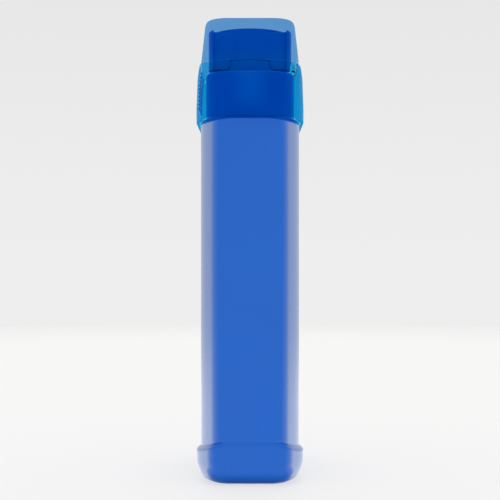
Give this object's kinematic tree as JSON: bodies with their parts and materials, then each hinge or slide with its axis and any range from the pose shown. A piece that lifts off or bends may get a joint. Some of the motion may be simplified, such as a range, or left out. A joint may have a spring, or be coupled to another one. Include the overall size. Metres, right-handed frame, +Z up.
{
  "type": "swing top bottle",
  "caption": "Slim flat plastic bottle with a flared foot, push-on cap, clear skirt, ribbed release button and a clear swing lid that carries a sealed stopper.",
  "frame": {"origin": "centre of the base, on the surface it stands on", "axes": "+Z up through the neck; +X towards the lid hinge; -X towards the ribbed button; Y along the hinge, the long way of the plan"},
  "size_m": [0.062, 0.0988, 0.265],
  "materials": {
    "blue_body": "smooth blow-moulded opaque blue, soft satin gloss",
    "blue_cap": "smooth moulded opaque deep blue",
    "clear_blue": "see-through cyan blue, polished",
    "silicone": "matt translucent white silicone",
    "pin_steel": "drawn stainless wire"
  },
  "bodies": {
    "bottle": {"bottle_shell": "blue_body"},
    "cap": {"cap_collar": "blue_cap", "cap_skirt": "clear_blue", "neck_gasket": "silicone", "hinge_pins": "pin_steel", "button_springs": "pin_steel"},
    "lid": {"swing_lid": "clear_blue", "stopper": "blue_cap", "mouth_seal": "silicone"},
    "button": {"release_button": "clear_blue"}
  },
  "joints": [
    {"name": "cap_lift", "type": "slide", "parent": "bottle", "child": "cap", "axis": [0, 0, 1], "range_m": [0, 0.045]},
    {"name": "lid_hinge", "type": "hinge", "parent": "cap", "child": "lid", "pos_m": [0.0264, 0, 0.24245], "axis": [0, 1, 0], "range_deg": [0, 110]},
    {"name": "button_push", "type": "slide", "parent": "cap", "child": "button", "axis": [1, 0, 0], "range_m": [0, 0.002], "stiffness_N_per_m": 350, "springref_m": -0.003, "deforming": ["button_springs"]}
  ]
}
